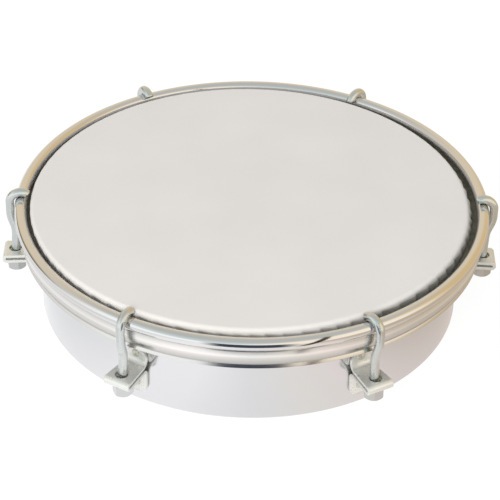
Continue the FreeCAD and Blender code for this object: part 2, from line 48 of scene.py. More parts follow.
def linear(hexColour):
    # sRGB hex to linear red, green, blue, alpha
    parts = [int(hexColour[place:place + 2], 16) / 255 for place in (1, 3, 5)]
    flat = [part / 12.92 if part <= 0.04045 else ((part + 0.055) / 1.055) ** 2.4 for part in parts]
    return (*flat, 1.0)


def addNode(tree, kind, settings=None, inputs=None):
    # one node, its properties, and its sockets: a value is set, a socket is linked
    node = tree.nodes.new("ShaderNode" + kind)
    for name, value in (settings or {}).items():
        setattr(node, name, value)
    for name, value in (inputs or {}).items():
        socket = node.inputs[name]
        if isinstance(value, bpy.types.NodeSocket):
            tree.links.new(value, socket)
        else:
            socket.default_value = value
    return node


def newMaterial(name):
    material = bpy.data.materials.new(name)
    material.use_nodes = True
    material.node_tree.nodes.clear()
    return material, material.node_tree


def rampStops(node, stops):
    # sets a colour ramp's stops: (place, hex colour)
    ramp = node.color_ramp
    while len(ramp.elements) > 1:
        ramp.elements.remove(ramp.elements[-1])
    ramp.elements[0].position, ramp.elements[0].color = stops[0][0], linear(stops[0][1])
    for place, colour in stops[1:]:
        ramp.elements.new(place).color = linear(colour)


def finishMaterial(tree, surface):
    addNode(tree, "OutputMaterial", inputs={"Surface": surface})


def gridFaces(rows, columns, closeRows=False, closeColumns=False):
    # quads of a rows x columns grid of points, wrapped where it closes on itself
    row = np.arange(rows if closeRows else rows - 1)[:, None]
    column = np.arange(columns if closeColumns else columns - 1)[None, :]
    nextRow = (row + 1) % rows
    nextColumn = (column + 1) % columns
    corners = [row * columns + column, row * columns + nextColumn,
               nextRow * columns + nextColumn, nextRow * columns + column]
    return np.stack(corners, axis=-1).reshape(-1, 4)


weldDistance = 1e-7   # in m: points nearer than this become one


def makeMesh(name, points, faces, sharpAngle=35):
    # a closed mesh with its faces outwards, smooth but for edges sharper than sharpAngle
    mesh = bpy.data.meshes.new(name)
    mesh.from_pydata(points.reshape(-1, 3).tolist(), [], faces.tolist())
    build = bmesh.new()
    build.from_mesh(mesh)
    bmesh.ops.remove_doubles(build, verts=build.verts, dist=weldDistance)
    bmesh.ops.recalc_face_normals(build, faces=build.faces)
    build.to_mesh(mesh)
    build.free()
    mesh.shade_smooth()
    mesh.set_sharp_from_angle(angle=math.radians(sharpAngle))
    piece = bpy.data.objects.new(name, mesh)
    bpy.context.scene.collection.objects.link(piece)
    return piece


def dress(piece, node, body, material):
    # the piece stands for a node of the frame and moves with its body
    piece.data.materials.append(material)
    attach(piece, body)
    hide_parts(node)
    return piece


def arc(centre, radius, start, end, steps):
    # points of an arc in a profile plane, angles in degrees from the first axis
    angle = np.radians(np.linspace(start, end, steps))
    return np.stack([centre[0] + radius * np.cos(angle), centre[1] + radius * np.sin(angle)], axis=1)


def line(*corners):
    return np.array(corners, dtype=float)


def turned(profile, segments, closed=True, shift=(0.0, 0.0)):
    # profile (radius, height) in mm turned about Z: x = r cos a, y = r sin a, z = height
    angle = np.linspace(0, 2 * np.pi, segments, endpoint=False)
    radius = profile[:, 0][:, None]
    points = np.stack([radius * np.cos(angle) + shift[0], radius * np.sin(angle) + shift[1],
                       np.repeat(profile[:, 1][:, None], segments, axis=1)], axis=-1) * mm
    return points, gridFaces(len(profile), segments, closeRows=closed, closeColumns=True)


def placeAtLug(points, angle, offset=(0.0, 0.0, 0.0)):
    # turns points about Z by the lug's angle after moving them by offset, in metres
    moved = points + np.array(offset)
    cosine, sine = math.cos(angle), math.sin(angle)
    turn = np.array([[cosine, sine, 0], [-sine, cosine, 0], [0, 0, 1]])
    return moved @ turn


def sweepFrame(route):
    # unit direction at each point of a planar route, and the length run up to it
    along = np.gradient(route, axis=0)
    along /= np.linalg.norm(along, axis=1)[:, None]
    step = np.linalg.norm(np.diff(route, axis=0), axis=1)
    return along, np.concatenate([[0], np.cumsum(step)])


def smooth(value, low, high):
    # 0 below low, 1 above high, 3 t^2 - 2 t^3 between
    share = np.clip((value - low) / (high - low), 0, 1)
    return share * share * (3 - 2 * share)


# The part of the noise that is used, and the roughness at its ends as shares of the metal's
hazeRange = {"noiseLow": 0.3, "noiseHigh": 0.75, "least": 0.8, "most": 1.35}


def brightMetal(name, colour, roughness, waveHeight, waveSize, hazeSize, metallic=1.0):
    # Plated or bare steel: a mirror softened by polishing haze, whose sheet, wire or strip
    # is never quite true, so straight reflections waver a little; waves and haze in mm
    material, tree = newMaterial(name)
    coords = addNode(tree, "TexCoord")
    haze = addNode(tree, "TexNoise", inputs={
        "Vector": coords.outputs["Object"], "Scale": 1 / (hazeSize * mm),
        "Detail": 3.0, "Roughness": 0.6})
    rough = addNode(tree, "MapRange", inputs={
        "Value": haze.outputs["Fac"],
        "From Min": hazeRange["noiseLow"], "From Max": hazeRange["noiseHigh"],
        "To Min": roughness * hazeRange["least"], "To Max": roughness * hazeRange["most"]})
    wave = addNode(tree, "TexNoise", inputs={
        "Vector": coords.outputs["Object"], "Scale": 1 / (waveSize * mm), "Detail": 1.0})
    bump = addNode(tree, "Bump", inputs={
        "Height": wave.outputs["Fac"], "Distance": waveHeight * mm, "Strength": 1.0})
    shader = addNode(tree, "BsdfPrincipled", inputs={
        "Base Color": linear(colour), "Metallic": metallic,
        "Roughness": rough.outputs["Result"], "Normal": bump.outputs["Normal"]})
    finishMaterial(tree, shader.outputs["BSDF"])
    return material


# Width and depth of the rolled lines, and the heights between which the painted highlight and shade
# change, in mm
aluminiumSizes = {"rollLines": 0.5, "rollHeight": 0.01, "bandLow": 28, "bandHigh": 36}


def rolledAluminium(size):
    # Rolled aluminium channel: softer than chrome, with fine lines left all the way round
    # by the rolls; a painted highlight on its upper wall, and painted shade down towards its foot and at
    # its lip
    material, tree = newMaterial("rolledAluminium")
    coords = addNode(tree, "TexCoord")
    apart = addNode(tree, "SeparateXYZ", inputs={"Vector": coords.outputs["Object"]})
    height = addNode(tree, "CombineXYZ", inputs={"Z": apart.outputs["Z"]})
    rolls = addNode(tree, "TexNoise", inputs={
        "Vector": height.outputs["Vector"], "Scale": 1 / (size["rollLines"] * mm),
        "Detail": 4.0, "Roughness": 0.7})
    bump = addNode(tree, "Bump", inputs={
        "Height": rolls.outputs["Fac"], "Distance": size["rollHeight"] * mm, "Strength": 1.0})
    # painted highlight and shade by height: brightest on the upper wall, darker down the curve towards
    # the foot and under the rod at the lip
    band = addNode(tree, "MapRange", inputs={
        "Value": apart.outputs["Z"],
        "From Min": size["bandLow"] * mm, "From Max": size["bandHigh"] * mm})
    paintedHighlightAndShade = addNode(tree, "ValToRGB", inputs={"Fac": band.outputs["Result"]})
    rampStops(paintedHighlightAndShade, [(0.0, "#D8D6D3"), (0.155, "#D8D6D3"), (0.2, "#BFBDBA"), (0.4, "#CAC8C5"),
                       (0.575, "#DAD8D5"), (0.7, "#F4F2EF"), (0.85, "#E8E6E3"), (0.98, "#D3D1CE")])
    shader = addNode(tree, "BsdfPrincipled", inputs={
        "Base Color": paintedHighlightAndShade.outputs["Color"], "Metallic": 1.0, "Roughness": 0.22,
        "Normal": bump.outputs["Normal"]})
    finishMaterial(tree, shader.outputs["BSDF"])
    return material


# Sizes of the clouds and the grain, and of the painted shade on the collar's right front: it starts
# below its top height and past its start along its direction, and reaches its share at its full height
# and end; in mm
filmCoatAndShade = {"cloud": 30, "grain": 0.4, "grainHeight": 0.01, "paintedShadeTop": 41.1, "paintedShadeFull": 39.3,
            "paintedShadeToward": (0.82, -0.57, 0.0), "paintedShadeStart": 58, "paintedShadeEnd": 80, "paintedShadeShare": 0.8}


def coatedFilm(size):
    # Polyester film with a fine white coat, pressed to shape: an even satin white with
    # a faint cloudiness from the coat's thickness; at the right front the low collar is painted
    # darker, a painted shade for the side of the pleats that faces away from the light
    material, tree = newMaterial("coatedPolyesterFilm")
    coords = addNode(tree, "TexCoord")
    cloud = addNode(tree, "TexNoise", inputs={
        "Vector": coords.outputs["Object"], "Scale": 1 / (size["cloud"] * mm),
        "Detail": 2.0, "Roughness": 0.5})
    colour = addNode(tree, "ValToRGB", inputs={"Fac": cloud.outputs["Fac"]})
    rampStops(colour, [(0.3, "#E6E3DE"), (0.7, "#EAE7E3")])
    grain = addNode(tree, "TexNoise", inputs={
        "Vector": coords.outputs["Object"], "Scale": 1 / (size["grain"] * mm), "Detail": 2.0})
    bump = addNode(tree, "Bump", inputs={
        "Height": grain.outputs["Fac"], "Distance": size["grainHeight"] * mm, "Strength": 0.6})
    apart = addNode(tree, "SeparateXYZ", inputs={"Vector": coords.outputs["Object"]})
    # painted shade: low on the collar and towards the right front the colour goes to a dark grey,
    # standing in for the shaded side
    low = addNode(tree, "MapRange", inputs={
        "Value": apart.outputs["Z"],
        "From Min": size["paintedShadeTop"] * mm, "From Max": size["paintedShadeFull"] * mm})
    toward = addNode(tree, "VectorMath", {"operation": "DOT_PRODUCT"}, {
        0: coords.outputs["Object"], 1: size["paintedShadeToward"]})
    near = addNode(tree, "MapRange", {"interpolation_type": "SMOOTHSTEP"}, {
        "Value": toward.outputs["Value"], "From Min": size["paintedShadeStart"] * mm,
        "From Max": size["paintedShadeEnd"] * mm, "To Max": size["paintedShadeShare"]})
    paintedShade = addNode(tree, "Math", {"operation": "MULTIPLY"}, {
        0: low.outputs["Result"], 1: near.outputs["Result"]})
    coat = addNode(tree, "MixRGB", inputs={
        0: paintedShade.outputs["Value"], 1: colour.outputs["Color"], 2: linear("#8A897F")})
    shader = addNode(tree, "BsdfPrincipled", inputs={
        "Base Color": coat.outputs["Color"], "Roughness": 0.5, "IOR": 1.45,
        "Normal": bump.outputs["Normal"]})
    finishMaterial(tree, shader.outputs["BSDF"])
    return material


resinDust = 3   # in mm, from one patch of dust to the next


def castResin():
    # Poured resin, cured dark and slightly glossy, with dust on it
    material, tree = newMaterial("pouredResin")
    coords = addNode(tree, "TexCoord")
    dust = addNode(tree, "TexNoise", inputs={
        "Vector": coords.outputs["Object"], "Scale": 1 / (resinDust * mm), "Detail": 4.0})
    colour = addNode(tree, "ValToRGB", inputs={"Fac": dust.outputs["Fac"]})
    rampStops(colour, [(0.35, "#66665A"), (0.7, "#918E7B")])
    shader = addNode(tree, "BsdfPrincipled", inputs={
        "Base Color": colour.outputs["Color"], "Roughness": 0.45})
    finishMaterial(tree, shader.outputs["BSDF"])
    return material


# Chrome over polished sheet: a clear cool mirror with long slow waves
shellChrome = brightMetal("chromedShellSheet", "#DCDCDE", roughness=0.12,
                          waveHeight=0.02, waveSize=14, hazeSize=1.2)
# Chrome over drawn rod: the clearest mirror, so it carries the sharpest lines
rodChrome = brightMetal("chromedRod", "#DCDBDB", roughness=0.09,
                        waveHeight=0.01, waveSize=8, hazeSize=0.8)
# Chrome over bent wire that wasn't polished first: greyer and softer
hookChrome = brightMetal("chromedWire", "#CED2D0", roughness=0.24,
                         waveHeight=0.003, waveSize=6, hazeSize=2.0, metallic=0.93)
# Satin nickel on folded strip: pale and milky, half mirror and half even sheen
bracketNickel = brightMetal("satinNickelStrip", "#E5E6E1", roughness=0.3,
                            waveHeight=0.003, waveSize=6, hazeSize=3.0, metallic=0.55)
# Zinc on turned steel: a grey mirror broken by small waves
nutZinc = brightMetal("zincPlatedNut", "#C8CACA", roughness=0.16,
                      waveHeight=0.006, waveSize=2, hazeSize=1.0)
# Bare steel, upset cold: warm, dull and a little stained
rivetSteel = brightMetal("plainSteelRivet", "#CDCBBF", roughness=0.3,
                         waveHeight=0.003, waveSize=2, hazeSize=1.0, metallic=0.6)
hoopAluminium = rolledAluminium(aluminiumSizes)
headFilm = coatedFilm(filmCoatAndShade)
resin = castResin()
print("materials made")


shellSizes = {"radius": 76.2, "wall": 1.0, "height": 41.75, "bendInside": 0.5, "lip": 3.0,
              "hemFlat": 1.0, "hemHeight": 3.0, "segments": 256, "arcSteps": 9}


def makeShell(size):
    # outline of the rolled sheet: outer wall, top lip, inner wall, hem; turned about Z
    bend = size["bendInside"] + size["wall"]
    small = size["bendInside"]
    outer, top = size["radius"], size["height"]
    centre = outer - bend
    hemCentre = centre - size["hemFlat"]
    lipEdge = outer - size["lip"]
    steps = size["arcSteps"]
    profile = np.concatenate([
        arc((centre, bend), bend, -90, 0, steps),
        arc((centre, top - bend), bend, 0, 90, steps),
        line((lipEdge, top), (lipEdge, top - size["wall"])),
        arc((centre, top - bend), small, 90, 0, steps),
        arc((centre, bend), small, 0, -90, steps),
        arc((hemCentre, bend), small, -90, -180, steps),
        line((hemCentre - small, size["hemHeight"]), (hemCentre - bend, size["hemHeight"])),
        arc((hemCentre, bend), bend, -180, -90, steps),
    ])
    points, faces = turned(profile, size["segments"])
    piece = makeMesh("shell_sheet", points, faces)
    return dress(piece, "shell", "drum_shell", shellChrome)


filmSizes = {"thickness": 0.25, "crown": (77.6, 40.65), "crownBend": 1.1, "slope": 76,
             "footRadius": 77.5, "footBend": 1.5, "end": 31.0, "segments": 1440, "flatRings": (60, 66),
             "crownLead": 0.4, "flatSteps": 3, "outsideSteps": 9, "insideSteps": 5, "shapedFrom": 70,
             "heights": (35.2, 36.2, 37.4, 38.4, 39.4, 40.4), "depths": (0.0, 0.6, 0.8, 0.65, 0.4, 0.1),
             "bulges": (0.0, 0.3, 0.6, 0.6, 0.5, 0.45), "shift": (-0.3, -1.2),
             "followHeights": (37.0, 41.2), "backDrawn": 1.2, "backSines": (-0.3, 0.8)}


def filmProfile(size, offset, steps):
    # centre to rim: flat, crown bend, slope, foot bend, wall; offset is the distance
    # from the film's inner face
    slope = 90 - size["slope"]
    crown, bend = size["crown"], size["crownBend"]
    start = arc(crown, bend, slope, slope, 1)[0]
    footAcross = size["footRadius"] + size["footBend"] * math.cos(math.radians(slope))
    fall = (footAcross - start[0]) * math.tan(math.radians(size["slope"]))
    foot = (size["footRadius"], start[1] - fall - size["footBend"] * math.sin(math.radians(slope)))
    middle, outer = size["flatRings"]
    flat = np.concatenate([np.linspace(0, middle, size["flatSteps"]),
                           np.linspace(outer, crown[0] - size["crownLead"], size["flatSteps"])])
    slopeStart = arc(crown, bend + offset, slope, slope, 1)[0]
    slopeEnd = arc(foot, size["footBend"] + offset, slope, slope, 1)[0]
    share = np.linspace(0, 1, steps)[1:-1, None]
    wall = np.linspace(foot[1], size["end"], steps)[1:]
    return np.concatenate([
        np.stack([flat, np.full(len(flat), crown[1] + bend + offset)], axis=1),
        arc(crown, bend + offset, 90, slope, steps),
        slopeStart + (slopeEnd - slopeStart) * share,
        arc(foot, size["footBend"] + offset, slope, 0, steps),
        np.stack([np.full(len(wall), foot[0] + size["footBend"] + offset), wall], axis=1)])


# Each wander is its reach in radians, its waves round the film and where they start; the
# folds are deeper round deepAngle, between these cosines to it; scatter varies the depths
pleatSizes = {"count": 79, "wanders": ((0.022, 5, 0.8), (0.012, 13, 2.1)), "rise": 0.22,
              "fallPower": 1.2, "peak": 0.75, "leastDepth": 0.45, "deepAngle": -38,
              "deepCosines": (0.6, 0.95), "deepExtra": 0.35, "scatterTurn": 12.9898,
              "scatterReach": 43.758}


def pleat(angle, size):
    # 0 between folds, up to 1 in a fold: a tooth that rises fast and falls slowly, whose
    # spacing wanders and whose depth differs from fold to fold, deepest at the right front
    wander = angle
    for reach, waves, start in size["wanders"]:
        wander = wander + reach * np.sin(waves * angle + start)
    phase = wander * size["count"] / (2 * np.pi)
    part = phase - np.floor(phase)
    pick = np.sin((np.floor(phase) % size["count"]) * size["scatterTurn"]) * size["scatterReach"]
    depth = size["leastDepth"] + (1 - size["leastDepth"]) * (pick - np.floor(pick))
    toDeepest = np.cos(angle - math.radians(size["deepAngle"]))
    deep = 1 + size["deepExtra"] * smooth(toDeepest, *size["deepCosines"])
    tooth = smooth(part, 0.0, size["rise"]) * (1 - part) ** size["fallPower"] / size["peak"]
    return tooth * depth * deep


def makeFilm(size):
    # the pleats draw the collar inwards between crown and hoop; the foot follows the hoop,
    # and the back of the crown is drawn in a little further than its front
    profile = np.concatenate([filmProfile(size, size["thickness"], size["outsideSteps"]),
                              filmProfile(size, 0.0, size["insideSteps"])[::-1]])
    angle = np.linspace(0, 2 * np.pi, size["segments"], endpoint=False)[None, :]
    radius, height = profile[:, 0][:, None], profile[:, 1][:, None]
    shaped = radius > size["shapedFrom"]
    depth = np.interp(height, size["heights"], size["depths"]) * shaped
    bulge = np.interp(height, size["heights"], size["bulges"]) * shaped
    low, high = size["followHeights"]
    follow = smooth(-height, -high, -low)
    toBack = smooth(np.sin(angle), *size["backSines"])
    drawn = radius + bulge - depth * pleat(angle, pleatSizes)
    drawn = drawn - size["backDrawn"] * toBack * (1 - follow) * shaped
    shift = [(crown + (hoop - crown) * follow) * shaped for crown, hoop in zip(size["shift"], hoopShift)]
    points = np.stack([drawn * np.cos(angle) + shift[0], drawn * np.sin(angle) + shift[1],
                       np.repeat(height, size["segments"], axis=1)], axis=-1) * mm
    faces = gridFaces(len(profile), size["segments"], closeColumns=True)
    piece = makeMesh("pleated_film", points, faces, sharpAngle=70)
    return dress(piece, "head_film", "head", headFilm)


# The turnIn is the centre of the curve by which the outer wall turns in below, and flare the
# upper and lower corner of the lip at its foot
channelSizes = {"inner": 77.2, "outer": 84.6, "wall": 1.0, "bottom": 27.9, "top": 36.0, "bend": 2.2,
                "lipRound": 0.3, "lipIn": 0.05, "turnIn": (75.03, 34.2), "turnInRadius": 9.57,
                "turnInEnd": -31, "turnInSteps": 14, "flare": ((83.36, 29.05), (83.7, 28.05)),
                "flareRound": (0.12, 0.04), "footIn": 0.4, "flatTop": 35.5, "flatIn": 0.04,
                "resinTop": 35.0, "resinGap": 0.05, "resinSag": 0.5, "segments": 256, "arcSteps": 9,
                "lipSteps": 5}


def makeChannel(size):
    # open channel: the outer wall turns in below and flares out again at its foot
    wall, bend, steps = size["wall"], size["bend"], size["arcSteps"]
    inner, outer, bottom, top = size["inner"], size["outer"], size["bottom"], size["top"]
    lip, lipSteps = size["lipRound"], size["lipSteps"]
    room = outer - wall
    flareTop, flareEnd = size["flare"]
    roundAcross, roundUp = size["flareRound"]
    profile = np.concatenate([
        arc((inner + bend, bottom + bend), bend, 180, 270, steps),
        line((room - size["footIn"], bottom), (flareEnd[0] - roundAcross, bottom + roundUp),
             flareEnd, flareTop),
        arc(size["turnIn"], size["turnInRadius"], size["turnInEnd"], 0, size["turnInSteps"]),
        line((outer - size["flatIn"], size["flatTop"])),
        arc((outer - lip - size["lipIn"], top - lip), lip, 0, 90, lipSteps),
        arc((room + lip, top - lip), lip, 90, 180, lipSteps),
        arc((outer - bend, bottom + bend), bend - wall, 0, -90, steps),
        arc((inner + bend, bottom + bend), bend - wall, 270, 180, steps),
        arc((inner + wall - lip, top - lip), lip, 0, 90, lipSteps),
        arc((inner + lip, top - lip), lip, 90, 180, lipSteps),
    ])
    points, faces = turned(profile, size["segments"], shift=hoopShift)
    piece = makeMesh("channel_hoop", points, faces)
    return dress(piece, "flesh_hoop", "head", hoopAluminium)


def makeResin(size):
    # fills the channel round the film's foot; its top sinks a little between the walls
    gap = size["resinGap"]
    low, bend = size["bottom"] + size["wall"], size["bend"]
    inner, outer = size["inner"] + size["wall"] + gap, size["outer"] - size["wall"] - gap
    film = filmSizes["footRadius"] + filmSizes["footBend"]
    slitIn, slitOut = film - gap, film + filmSizes["thickness"] + gap
    top, end = size["resinTop"], filmSizes["end"]
    outside = np.linspace(outer, slitOut, size["arcSteps"])
    sink = size["resinSag"] * np.sin(np.pi * (outside - slitOut) / (outer - slitOut))
    profile = np.concatenate([
        line((inner, low + bend), (inner + bend, low), (outer - bend, low), (outer, low + bend)),
        np.stack([outside, top - sink], axis=1),
        line((slitOut, end), (slitIn, end), (slitIn, top), (inner, top)),
    ])
    points, faces = turned(profile, size["segments"], shift=hoopShift)
    piece = makeMesh("resin_fill", points, faces)
    return dress(piece, "hoop_resin", "head", resin)


rodSizes = {"ring": 83.74, "radius": 2.25, "height": 38.3, "segments": 288, "sides": 48}


def makeRod(size):
    # torus: (ring + radius cos b, height + radius sin b) turned about Z
    profile = arc((size["ring"], size["height"]), size["radius"], 0, 360, size["sides"] + 1)[:-1]
    points, faces = turned(profile, size["segments"], shift=hoopShift)
    piece = makeMesh("rod_hoop", points, faces)
    return dress(piece, "counter_hoop", "hoop", rodChrome)


# Hand bending leaves each hook with its own wrap past the rod, start and slant of the jog,
# turn about its bolt in degrees, and lean along the hoop in mm
hookSizes = {"wire": 1.5875, "bend": 4.1875, "ring": 83.76, "height": 38.0,
             "wraps": (30, 66, 48, 36, 34, 44), "shankFoots": (35.4, 34.0, 34.0, 34.2, 33.2, 35.2),
             "jogBend": 12.0, "jogAngles": (20, 20, 20, 20, 24, 15), "yaws": (0, -10, 0, 0, 0, 12),
             "leans": (0, 1.6, -0.5, 0, 0, -1.1), "leanHeights": (16.0, 34.0), "boltRadius": 85.9,
             "tip": 9.3, "tipRound": 0.45, "tipShare": 0.9, "threadEnd": 18.0, "pitch": 0.8,
             "crest": 1.6, "root": 1.42, "sides": 32, "turnRows": 8, "footRows": 6, "jogSteps": 12,
             "hookSteps": 56}


def hookRoute(size, wrap, shankFoot, jogAngle):
    # (radius, height) points of the wire's axis from the threaded tip to the hook's end
    shank = size["ring"] + size["bend"]
    angle = math.radians(jogAngle)
    side = size["jogBend"] * (1 - math.cos(angle))
    rise = size["jogBend"] * math.sin(angle)
    slant = max(0.0, (shank - size["boltRadius"] - 2 * side) / math.tan(angle))
    foot = shankFoot - 2 * rise - slant
    threadRows = int((size["threadEnd"] - size["tip"]) / size["pitch"] * size["turnRows"])
    straight = np.concatenate([
        np.linspace(size["tip"], size["threadEnd"], threadRows, endpoint=False),
        np.linspace(size["threadEnd"], foot, size["footRows"], endpoint=False)])
    lower = arc((size["boltRadius"] + size["jogBend"], foot), size["jogBend"],
                180, 180 - jogAngle, size["jogSteps"])
    upper = arc((shank - size["jogBend"], shankFoot), size["jogBend"],
                -jogAngle, 0, size["jogSteps"])
    hook = arc((size["ring"], size["height"]), size["bend"], 0, 90 + wrap, size["hookSteps"])
    return np.concatenate([
        np.stack([np.full(len(straight), size["boltRadius"]), straight], axis=1),
        lower, upper, hook])


def hookPoints(size, wrap, shankFoot, jogAngle):
    # rings round the route: centre + radius (n cos b + y sin b), the radius cut by the
    # helical thread up to its end and rounded down at both cut ends
    route = hookRoute(size, wrap, shankFoot, jogAngle)
    along, length = sweepFrame(route)
    around = np.linspace(0, 2 * np.pi, size["sides"], endpoint=False)
    phase = length[:, None] / size["pitch"] - around[None, :] / (2 * np.pi)
    ridge = np.abs(2 * (phase - np.floor(phase)) - 1)
    threaded = np.clip((size["threadEnd"] - size["tip"] - length) / size["pitch"], 0, 1)[:, None]
    thread = size["root"] + (size["crest"] - size["root"]) * ridge
    radius = size["wire"] + (thread - size["wire"]) * threaded
    fromEnd = np.minimum(length, length[-1] - length)
    cut = np.clip(fromEnd / size["tipRound"], 0, 1)[:, None]
    radius = radius - size["tipRound"] * (1 - np.sqrt(1 - (1 - cut) ** 2)) * size["tipShare"]
    normal = np.stack([along[:, 1], -along[:, 0]], axis=1)
    out = radius * np.cos(around)
    points = np.stack([route[:, 0][:, None] + normal[:, 0][:, None] * out,
                       radius * np.sin(around) + np.zeros((len(route), 1)),
                       route[:, 1][:, None] + normal[:, 1][:, None] * out], axis=-1)
    ends = [np.repeat(np.array([[route[row, 0], 0, route[row, 1]]]), size["sides"], axis=0)
            for row in (0, -1)]
    return np.concatenate([ends[0][None], points, ends[1][None]]) * mm


def makeHooks(size):
    # each hook is turned a little on its bolt, and leans from its straight foot to the
    # place of the hoop and along it
    axis = np.array([size["boltRadius"] * mm, 0, 0])
    for lug, angle in enumerate(lugAngles, start=1):
        own = (size[key][lug - 1] for key in ("wraps", "shankFoots", "jogAngles"))
        points = hookPoints(size, *own)
        faces = gridFaces(points.shape[0], size["sides"], closeColumns=True)
        yawed = placeAtLug(points - axis, math.radians(size["yaws"][lug - 1])) + axis
        placed = placeAtLug(yawed, angle)
        low, high = size["leanHeights"]
        lean = smooth(placed[..., 2], low * mm, high * mm)
        aside = size["leans"][lug - 1]
        placed[..., 0] += (hoopShift[0] - aside * math.sin(angle)) * mm * lean
        placed[..., 1] += (hoopShift[1] + aside * math.cos(angle)) * mm * lean
        piece = makeMesh("hook_wire_%d" % lug, placed, faces, sharpAngle=50)
        dress(piece, "hook_bolt_%d" % lug, "hook_%d" % lug, hookChrome)


bracketSizes = {"back": shellSizes["radius"], "thickness": 1.2, "noseHalf": 5.0, "waistHalf": 4.1,
                "spread": 11.5, "flangeTop": 22.9, "shelfTop": 17.6, "shelfGap": 0.9, "nose": 90.6,
                "upperBend": 2.0, "lowerBend": 1.5, "flangeBottom": 5.1, "corner": 3.2, "edge": 0.22,
                "hole": 2.3, "holeRadius": 86.2, "holeSides": 48,
                "holeAsides": (0.35, 0.35, -0.35, -0.35, -0.35, 0.35), "bendSteps": 10, "endSteps": 14,
                "edgeSteps": 4}


def bracketRoute(size):
    # (radius, height) of the strip's middle line: upper flange, bend, shelf, nose, shelf,
    # bend, lower flange; points crowd towards the free ends
    half = size["thickness"] / 2
    middle = size["back"] + half
    upper, lower = size["upperBend"] + half, size["lowerBend"] + half
    shelf = size["shelfTop"] - half
    under = shelf - size["thickness"] - size["shelfGap"]
    noseBend = (shelf - under) / 2
    noseCentre = (size["nose"] - half - noseBend, (shelf + under) / 2)
    steps = size["bendSteps"]
    crowd = 1 - np.cos(np.linspace(0, np.pi / 2, size["endSteps"]))
    top = size["flangeTop"] + (shelf + upper - size["flangeTop"]) * crowd[:-1]
    bottom = (size["flangeBottom"] + (under - lower - size["flangeBottom"]) * crowd[:-1])[::-1]
    return np.concatenate([
        np.stack([np.full(len(top), middle), top], axis=1),
        arc((middle + upper, shelf + upper), upper, 180, 270, steps),
        arc(noseCentre, noseBend, 90, -90, steps * 2),
        arc((middle + lower, under - lower), lower, 90, 180, steps),
        np.stack([np.full(len(bottom), middle), bottom], axis=1)])


def bracketPoints(size):
    # an edge-rounded rectangle swept along the route, widening from waist to nose and
    # narrowed at both ends to round the free corners
    route = bracketRoute(size)
    along, length = sweepFrame(route)
    fromEnd = np.minimum(length, length[-1] - length)
    corner, edge = size["corner"], size["edge"]
    near = corner - np.clip(fromEnd, 0, corner)
    lost = corner - np.sqrt(corner ** 2 - near ** 2)
    spread = np.clip((route[:, 0] - size["back"] - size["thickness"]) / size["spread"], 0, 1)
    half = size["waistHalf"] + (size["noseHalf"] - size["waistHalf"]) * spread - lost
    rounding = 1 - np.clip(fromEnd / edge, 0, 1)
    thick = size["thickness"] / 2 - edge * (1 - np.sqrt(1 - rounding ** 2))
    steps = size["edgeSteps"]
    quarters = [np.linspace(start, start + 90, steps) for start in (0, 90, 180, 270)]
    angle = np.radians(np.concatenate(quarters))
    side, face = np.repeat([1, -1, -1, 1], steps), np.repeat([1, 1, -1, -1], steps)
    across = side * (half - edge)[:, None] + edge * np.cos(angle)
    through = face * (thick - edge)[:, None] + edge * np.sin(angle)
    rings = np.stack([route[:, 0][:, None] - along[:, 1][:, None] * through, across,
                      route[:, 1][:, None] + along[:, 0][:, None] * through], axis=-1)
    ends = [np.repeat(ring.mean(axis=0)[None], len(ring), axis=0) for ring in (rings[0], rings[-1])]
    return np.concatenate([ends[0][None], rings, ends[1][None]]) * mm


def cutHole(piece, axisPoint, size):
    # takes a round hole out of a bracket from its foot to its top
    radius, low, high = size["hole"], size["flangeBottom"], size["flangeTop"]
    profile = line((0, low), (radius, low), (radius, high), (0, high))
    points, faces = turned(profile, size["holeSides"], closed=False, shift=axisPoint)
    cutter = makeMesh("hole_cutter", points, faces)
    bite = piece.modifiers.new("hole", "BOOLEAN")
    bite.object = cutter
    bite.operation = "DIFFERENCE"
    bite.solver = "EXACT"
    bpy.context.view_layer.update()
    cutMesh = bpy.data.meshes.new_from_object(piece.evaluated_get(bpy.context.evaluated_depsgraph_get()))
    piece.modifiers.clear()
    piece.data = cutMesh
    bpy.data.objects.remove(cutter)
    cutMesh.set_sharp_from_angle(angle=math.radians(40))


def makeBrackets(size):
    points = bracketPoints(size)
    faces = gridFaces(points.shape[0], points.shape[1], closeColumns=True)
    for lug, angle in enumerate(lugAngles, start=1):
        piece = makeMesh("folded_strip_%d" % lug, placeAtLug(points, angle), faces, sharpAngle=40)
        across, aside = size["holeRadius"], size["holeAsides"][lug - 1]
        axisPoint = (across * math.cos(angle) - aside * math.sin(angle),
                     across * math.sin(angle) + aside * math.cos(angle))
        cutHole(piece, axisPoint, size)
        dress(piece, "lug_bracket_%d" % lug, "drum_shell", bracketNickel)


# Chamfers are their size across and up; each nut was left at its own turn, in degrees
nutSizes = {"flats": 6.35, "height": 4.2, "bottom": 10.1, "bore": 1.6375, "boreChamfer": (0.3, 0.35),
            "footRadius": 3.2, "footHeight": 0.8, "topChamfer": (0.6, 0.35),
            "place": hookSizes["boltRadius"], "turns": (8, 21, 47, 14, 24, 3), "sides": 144,
            "footSteps": 10, "riseSteps": 7}


